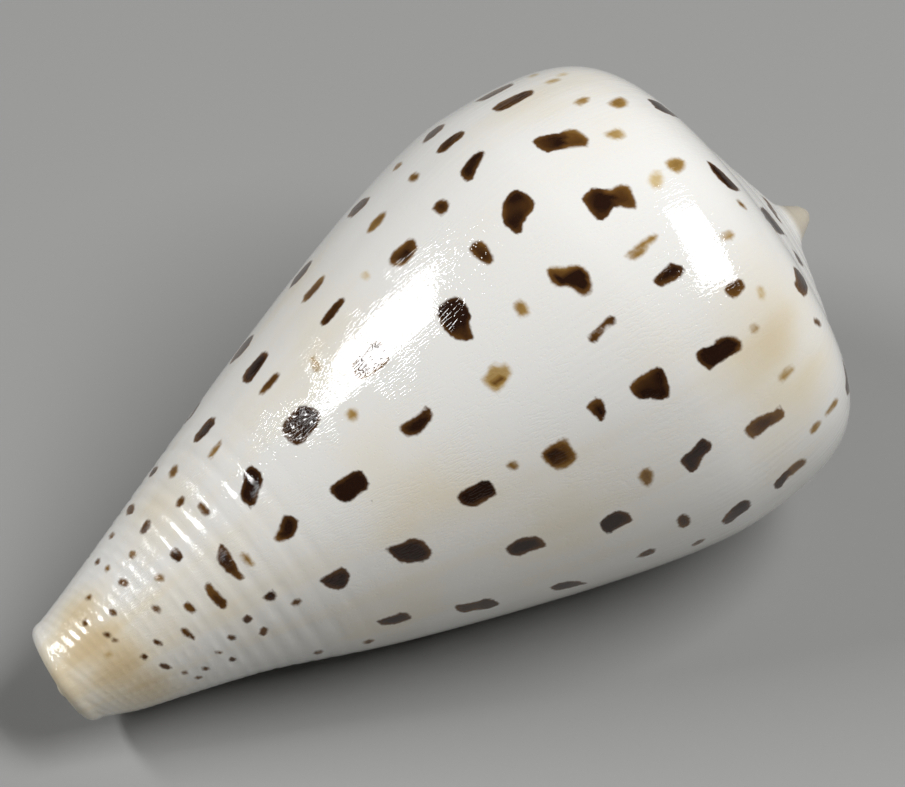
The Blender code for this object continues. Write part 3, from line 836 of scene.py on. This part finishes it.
chance = np.random.default_rng(HIDDEN_SEED)
for row_q in np.concatenate([HIDDEN_SHOULDER_ROWS, HIDDEN_BODY_ROWS]):
    size = np.interp(row_q, *HIDDEN_SIZES)
    number = int(np.interp(row_q, *HIDDEN_NUMBERS))
    angles = -TURN + TURN * (np.arange(number) + chance.uniform(0.1, 0.9, number)) / number
    for a in angles:
        q = row_q + chance.normal(0.0, 0.012)
        long = size * chance.uniform(0.45, 1.25)
        wide = long * chance.uniform(0.35, 0.75)
        lean = chance.normal(0.15, 0.35)
        depth = chance.choice(HIDDEN_DEPTHS, p=HIDDEN_DEPTH_SHARES)
        bends = chance.uniform(0.75, 1.15, HIDDEN_CORNERS)
        r, d = section(a, q)
        here, normal = on_skin(a, r, d)
        toward = view_point - here
        if normal @ toward / np.linalg.norm(toward) > FACING_AWAY:
            continue
        if clearance(here) < long + HIDDEN_CLEARANCE:
            continue
        r_on, d_on = section(a, q + ROW_STEP)
        ahead = along_skin((place(a, r_on, d_on) - place(a, r, d)) @ rest_turn.T, normal)
        beside = np.cross(normal, ahead)
        turned = math.cos(lean) * ahead + math.sin(lean) * beside
        square = math.cos(lean) * beside - math.sin(lean) * ahead
        shifts = chance.uniform(-0.25, 0.25, HIDDEN_CORNERS)
        angle = TURN * (np.arange(HIDDEN_CORNERS) + shifts) / HIDDEN_CORNERS
        outline = here + MM * (
            np.outer(bends * wide * np.cos(angle), turned)
            + np.outer(bends * long * np.sin(angle), square)
        )
        stain(here, normal, outline, float(depth))


# Streaks on the last ramp of the spire, on the sides that the photograph doesn't show. They
# are the same pigment, laid down along the edge of the shoulder and drawn out round the coil.
STREAKS = 15
STREAK_ROW = 0.55
STREAK_CORNERS = 8
STREAK_HALF_WIDTH = 0.6
STREAK_CLEARANCE = 2.0

for number in range(STREAKS):
    a = -TURN * (number + chance.uniform(0.2, 0.8)) / STREAKS
    r, d = section(a, STREAK_ROW)
    here, normal = on_skin(a, r, d)
    if normal @ (view_point - here) > 0.0 or clearance(here) < STREAK_CLEARANCE:
        continue
    spin = along_skin(rest_turn @ np.array([math.sin(a), math.cos(a), 0.0]), normal)
    over = np.cross(normal, spin)
    angle = TURN * np.arange(STREAK_CORNERS) / STREAK_CORNERS
    half = chance.uniform(1.2, 2.4)
    outline = here + MM * (
        np.outer(half * np.cos(angle), spin)
        + np.outer(STREAK_HALF_WIDTH * np.sin(angle), over)
    )
    stain(here, normal, outline, float(chance.uniform(0.85, 1.0)))

keep_mark("spot_edge", spot_edge)
keep_mark("spot_depth", spot_depth)


# Warm patches. The white is tinged with cream where the wall is thick or old: behind the
# shoulder, on the crown, at the narrow end and on the knob at the apex.
# Middle in the photograph's pixels, reach in mm, strength.
WARM_PATCHES = (
    (765, 320, 6.5, 0.75), (800, 370, 5.5, 0.50), (560, 78, 6.0, 0.45), (600, 95, 6.0, 0.30),
    (300, 320, 8.0, 0.32), (250, 400, 7.0, 0.34), (155, 510, 5.0, 0.60), (190, 450, 5.0, 0.34),
    (84, 618, 3.4, 0.85), (92, 645, 4.0, 1.00), (116, 668, 4.0, 1.00), (145, 686, 3.8, 0.90),
    (66, 690, 4.5, 0.72), (170, 640, 6.0, 0.40), (220, 600, 7.0, 0.35), (300, 580, 7.0, 0.45),
    (430, 520, 8.0, 0.40), (560, 520, 8.0, 0.30), (480, 340, 8.0, 0.10), (660, 330, 6.0, 0.24),
    (650, 490, 8.0, 0.34), (390, 600, 7.0, 0.46), (520, 570, 7.0, 0.30), (760, 450, 6.0, 0.24),
)
KNOB_REACH = 3.2
KNOB_FADE = 0.8

warmth = np.zeros(len(skin_at))
for x, y, reach, strength in WARM_PATCHES:
    point, _ = land(x, y)
    off = np.linalg.norm(skin_at - point, axis=-1) / MM
    warmth = np.maximum(warmth, strength * bell(off, reach))
off_apex = np.linalg.norm(skin_at - lay_down(np.zeros(3)), axis=-1) / MM
keep_mark("warmth", warmth)
keep_mark("knob", hold((KNOB_REACH - off_apex) / KNOB_FADE))


# Glaze of the shell. The shell's own smooth outer layer, wetly glossy, with faint growth
# lines, a patchy net of scratches, fine pits and a few dark pinholes. The spots show in it.
WHITE = (0.84, 0.83, 0.80, 1.0)
CREAM = (0.80, 0.70, 0.50, 1.0)
TAN = (0.58, 0.42, 0.22, 1.0)
KNOB_BEIGE = (0.55, 0.50, 0.41, 1.0)
# Colour of the painted shade line in the suture grooves.
SUTURE_SHADE = (0.22, 0.15, 0.09, 1.0)
STAIN_PALE = (0.66, 0.52, 0.29, 1.0)
STAIN_GOLD = (0.36, 0.22, 0.065, 1.0)
STAIN_BROWN = (0.15, 0.070, 0.016, 1.0)
STAIN_DARK = (0.068, 0.028, 0.008, 1.0)
STAIN_BLACK = (0.021, 0.008, 0.004, 1.0)
PINHOLE = (0.16, 0.13, 0.11, 1.0)


class Tint:
    """A socket in the glaze's nodes that takes part in sums like a number."""

    tree = None

    def __init__(self, socket):
        self.socket = socket

    @classmethod
    def node(cls, kind, settings=None, inputs=None, out=0):
        """Add a node: first its settings or ramp stops, then the values or links of its sockets."""
        made = cls.tree.nodes.new(kind)
        for name, value in (settings or {}).items():
            if name == "stops":
                for _ in range(len(value) - 2):
                    made.color_ramp.elements.new(0.5)
                for element, (position, colour) in zip(made.color_ramp.elements, value):
                    element.position = position
                    element.color = colour
            else:
                setattr(made, name, value)
        for name, value in (inputs or {}).items():
            if isinstance(value, Tint):
                cls.tree.links.new(value.socket, made.inputs[name])
            else:
                made.inputs[name].default_value = value
        return cls(made.outputs[out])

    def math(self, operation, left, right):
        """One Math node on two numbers or sockets."""
        return self.node("ShaderNodeMath", {"operation": operation}, {0: left, 1: right})

    def __add__(self, other):
        return self.math("ADD", self, other)

    def __radd__(self, other):
        return self.math("ADD", other, self)

    def __sub__(self, other):
        return self.math("SUBTRACT", self, other)

    def __rsub__(self, other):
        return self.math("SUBTRACT", other, self)

    def __mul__(self, other):
        return self.math("MULTIPLY", self, other)

    def __rmul__(self, other):
        return self.math("MULTIPLY", other, self)

    def ease(self, low, high):
        """0 below low, 1 above high, and a smooth S between them."""
        settings = {"interpolation_type": "SMOOTHSTEP"}
        return self.node("ShaderNodeMapRange", settings, {0: self, 1: low, 2: high, 3: 0.0, 4: 1.0})

    def blend(self, first, second):
        """Colour first where this is 0 and colour second where it is 1."""
        return self.node("ShaderNodeMix", {"data_type": "RGBA"}, {0: self, 6: first, 7: second}, 2)


glaze = bpy.data.materials.new("shell_glaze")
glaze.use_nodes = True
glaze.node_tree.nodes.clear()
Tint.tree = glaze.node_tree


def mark(name):
    """The value that the skin carries under this name."""
    return Tint.node("ShaderNodeAttribute", {"attribute_name": name}, None, 2)


def grain(coordinate, scale, detail, stretch=(1.0, 1.0, 1.0)):
    """Soft noise from 0 to 1 on a stretched coordinate."""
    mapped = Tint.node("ShaderNodeMapping", None, {"Vector": coordinate, "Scale": stretch})
    settings = {"noise_dimensions": "3D"}
    inputs = {"Vector": mapped, "Scale": scale, "Detail": detail}
    return Tint.node("ShaderNodeTexNoise", settings, inputs)


place_on = Tint.node("ShaderNodeTexCoord", None, None, 3)
coil = Tint.node("ShaderNodeUVMap", {"uv_map": "coil"})

# Edges of the spots, in mm: moved by fine and wide noise, and softer where a spot is pale.
EDGE_SPREAD = 0.09
EDGE_WANDER = 0.28
EDGE_WANDER_SCALE = 2200.0
EDGE_SWAY = 0.22
EDGE_SWAY_SCALE = 700.0
EDGE_SOFTNESS = 0.12
EDGE_SOFTNESS_IF_PALE = 0.26
CORE_DEPTHS = (-0.05, 0.60)
CORE_SHARE = 0.26
MOTTLE = 0.90
MOTTLE_SCALE = 380.0

wander = grain(place_on, EDGE_WANDER_SCALE, 3.0) - 0.5
sway = grain(place_on, EDGE_SWAY_SCALE, 2.0) - 0.5
edge = mark("spot_edge") + EDGE_SPREAD + EDGE_WANDER * wander + EDGE_SWAY * sway
softness = EDGE_SOFTNESS + EDGE_SOFTNESS_IF_PALE * (1.0 - mark("spot_depth"))
filled = edge.ease(-1.0 * softness, softness)
core = edge.ease(*CORE_DEPTHS)
mottle = grain(place_on, MOTTLE_SCALE, 1.0) - 0.5
pigment = mark("spot_depth") * (1.0 - CORE_SHARE + CORE_SHARE * core) * (1.0 + MOTTLE * mottle)

# Tinge of the white: bands round the coil and clouds, strongest where the skin is warm, and
# a painted shade line in the groove where one turn meets the next.
BAND_STRETCH = (26.0, 0.9, 1.0)
CLOUD_SCALE = 75.0
TAN_SHARE = 0.66
# Painted shade line along the suture grooves: where it starts to fade, where it is gone, and its share.
SUTURE_SHADE_FROM = 0.0006
SUTURE_SHADE_REACH = 0.005
SUTURE_SHADE_SHARE = 0.65

bands = grain(coil, 1.0, 3.0, BAND_STRETCH).ease(0.42, 0.72)
clouds = grain(place_on, CLOUD_SCALE, 3.0).ease(0.40, 0.75)
warm = (mark("warmth") * (0.65 + 0.5 * clouds) + 0.18 * bands + 0.17 * clouds).ease(0.02, 1.05)
ground = warm.blend(WHITE, CREAM)
deep = (mark("warmth") * (0.72 + 0.16 * bands + 0.34 * clouds) - 0.42).ease(0.0, 0.62)
ground = (TAN_SHARE * deep).blend(ground, TAN)
along_section = Tint.node("ShaderNodeSeparateXYZ", None, {0: coil}, 1)
# Painted shade: a dark line along each suture groove, where one turn meets the next.
suture_shade = 1.0 - along_section.ease(SUTURE_SHADE_FROM, SUTURE_SHADE_REACH)
ground = (SUTURE_SHADE_SHARE * suture_shade).blend(ground, SUTURE_SHADE)
ground = mark("knob").blend(ground, KNOB_BEIGE)

stops = [
    (0.0, STAIN_PALE), (0.12, STAIN_PALE), (0.36, STAIN_GOLD), (0.60, STAIN_BROWN),
    (0.82, STAIN_DARK), (1.0, STAIN_BLACK),
]
pigment_colour = Tint.node("ShaderNodeValToRGB", {"stops": stops}, {0: pigment})
stained = filled.blend(ground, pigment_colour)

# Pinholes: one in about half of the cells of a loose pattern, dark and sunk a little.
HOLE_CELLS = 130.0
HOLE_RADIUS = (0.012, 0.028)
HOLE_CHANCE = (0.52, 0.54)
HOLE_SHARE = 0.7

hole_spacing = {"Vector": place_on, "Scale": HOLE_CELLS}
hole = Tint.node("ShaderNodeTexVoronoi", None, hole_spacing, 0)
hole_chance = Tint.node("ShaderNodeTexVoronoi", None, hole_spacing, 1)
chosen = Tint.node("ShaderNodeSeparateColor", None, {0: hole_chance}).ease(*HOLE_CHANCE)
pinhole = (1.0 - hole.ease(*HOLE_RADIUS)) * chosen
colour = (HOLE_SHARE * pinhole).blend(stained, PINHOLE)

# Relief, in shares of RELIEF_DEPTH: strokes along the growth lines on the half next to the
# spire, fainter lines both ways, a patchy net of scratches, deeper in the spots, and pits.
STROKES = 1.2
STROKE_STRETCH = (330.0, 16.0, 1.0)
STROKES_END = (0.34, 0.50)
GROWTH_LINES = 0.24
GROWTH_STRETCH = (520.0, 14.0, 1.0)
SPIRAL_LINES = 0.10
SPIRAL_STRETCH = (40.0, 300.0, 1.0)
NET_STRETCH = (400.0, 62.0, 1.0)
NET_WIDTH = (0.02, 0.20)
NET_PATCH_SCALE = 240.0
NET_BETWEEN_PATCHES = 0.12
NET_CUT = 0.44
NET_CUT_MORE_IN_SPOTS = 0.24
PITS = 0.40
PIT_CELLS = 2400.0
PIT_RADIUS = (0.08, 0.26)
RELIEF_STRENGTH = 0.6
RELIEF_DEPTH = 0.000022
SMOOTHEST = 0.02
ROUGHER_BY = 0.03
GLOSS_SCALE = 400.0
SHELL_IOR = 1.55
GLOW_WEIGHT = 0.12
GLOW_RADIUS = (0.0012, 0.0010, 0.0007)

growth_lines = grain(coil, 1.0, 1.0, GROWTH_STRETCH) - 0.5
spiral_lines = grain(coil, 1.0, 1.0, SPIRAL_STRETCH) - 0.5
net_at = Tint.node("ShaderNodeMapping", None, {"Vector": coil, "Scale": NET_STRETCH})
net_kind = {"feature": "DISTANCE_TO_EDGE", "voronoi_dimensions": "2D"}
net = Tint.node("ShaderNodeTexVoronoi", net_kind, {"Vector": net_at, "Scale": 1.0})
patchy = NET_BETWEEN_PATCHES + grain(place_on, NET_PATCH_SCALE, 1.0).ease(0.42, 0.62)
cuts = (1.0 - net.ease(*NET_WIDTH)) * patchy
pits = Tint.node("ShaderNodeTexVoronoi", None, {"Vector": place_on, "Scale": PIT_CELLS})
pits = 1.0 - pits.ease(*PIT_RADIUS)
etched = NET_CUT + NET_CUT_MORE_IN_SPOTS * filled
strokes = grain(coil, 1.0, 0.0, STROKE_STRETCH) - 0.5
strokes = strokes * (1.0 - along_section.ease(*STROKES_END))
height = STROKES * strokes + GROWTH_LINES * growth_lines + SPIRAL_LINES * spiral_lines
height = height - etched * cuts - PITS * pits - pinhole
relief = {"Strength": RELIEF_STRENGTH, "Distance": RELIEF_DEPTH, "Height": height}
relief_normal = Tint.node("ShaderNodeBump", None, relief)
gloss = SMOOTHEST + ROUGHER_BY * grain(place_on, GLOSS_SCALE, 3.0)

shader_inputs = {
    "Base Color": colour, "Roughness": gloss, "IOR": SHELL_IOR, "Normal": relief_normal,
    "Subsurface Weight": GLOW_WEIGHT, "Subsurface Radius": GLOW_RADIUS, "Subsurface Scale": 1.0,
}
shaded = Tint.node("ShaderNodeBsdfPrincipled", None, shader_inputs)
output = glaze.node_tree.nodes.new("ShaderNodeOutputMaterial")
glaze.node_tree.links.new(shaded.socket, output.inputs["Surface"])

shell_mesh.materials.append(glaze)
cone_shell = bpy.data.objects.new("cone_shell", shell_mesh)
bpy.context.scene.collection.objects.link(cone_shell)
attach(cone_shell, "root")
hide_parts("shell")


# Table top. A plain sheet of pale matt card that the shell lies on, flat and so wide that
# its edges are far from the shell.
FLOOR_WIDTH = 4.0
FLOOR_COLOUR = (0.30, 0.30, 0.295, 1.0)
FLOOR_ROUGHNESS = 0.8

floor_mesh = bpy.data.meshes.new("table_top")
half_floor = 0.5 * FLOOR_WIDTH
floor_corners = [(-half_floor, -half_floor, 0.0), (half_floor, -half_floor, 0.0)]
floor_corners += [(half_floor, half_floor, 0.0), (-half_floor, half_floor, 0.0)]
floor_mesh.from_pydata(floor_corners, [], [(0, 1, 2, 3)])
paper = bpy.data.materials.new("pale_table_top")
paper.use_nodes = True
paper_shader = paper.node_tree.nodes["Principled BSDF"]
paper_shader.inputs["Base Color"].default_value = FLOOR_COLOUR
paper_shader.inputs["Roughness"].default_value = FLOOR_ROUGHNESS
floor_mesh.materials.append(paper)
table_top = bpy.data.objects.new("table_top", floor_mesh)
bpy.context.scene.collection.objects.link(table_top)


# Light. One narrow softbox behind on the left, whose mirror image lies along the body, a
# larger one above the front right for the shoulder, and a faint even sky.
# Name, compass angle, height angle and tilt in degrees, width, height, power in watts.
LIGHTS = (
    ("softbox_left", -127.9, 45.2, -66.1, 0.083, 0.258, 1.90),
    ("softbox_above", 48.0, 57.4, 42.9, 0.400, 0.202, 3.45),
)
LIGHT_DISTANCE = 0.62
SKY = (1.0, 0.98, 0.94, 1.0)
SKY_STRENGTH = 0.03

for name, compass, height_angle, tilt, wide, high, power in LIGHTS:
    lamp = bpy.data.lights.new(name, "AREA")
    lamp.shape = "RECTANGLE"
    lamp.size = wide
    lamp.size_y = high
    lamp.energy = power
    holder = bpy.data.objects.new(name, lamp)
    bpy.context.scene.collection.objects.link(holder)
    turned = Matrix.Rotation(math.radians(compass), 4, "Z")
    raised = Matrix.Rotation(math.radians(90.0 - height_angle), 4, "X")
    spun = Matrix.Rotation(math.radians(tilt), 4, "Z")
    out_to = Matrix.Translation((0.0, 0.0, LIGHT_DISTANCE))
    holder.matrix_world = turned @ raised @ out_to @ spun

sky = bpy.data.worlds.new("sky")
sky.use_nodes = True
sky.node_tree.nodes["Background"].inputs["Color"].default_value = SKY
sky.node_tree.nodes["Background"].inputs["Strength"].default_value = SKY_STRENGTH
bpy.context.scene.world = sky
bpy.context.scene.view_settings.view_transform = "Standard"
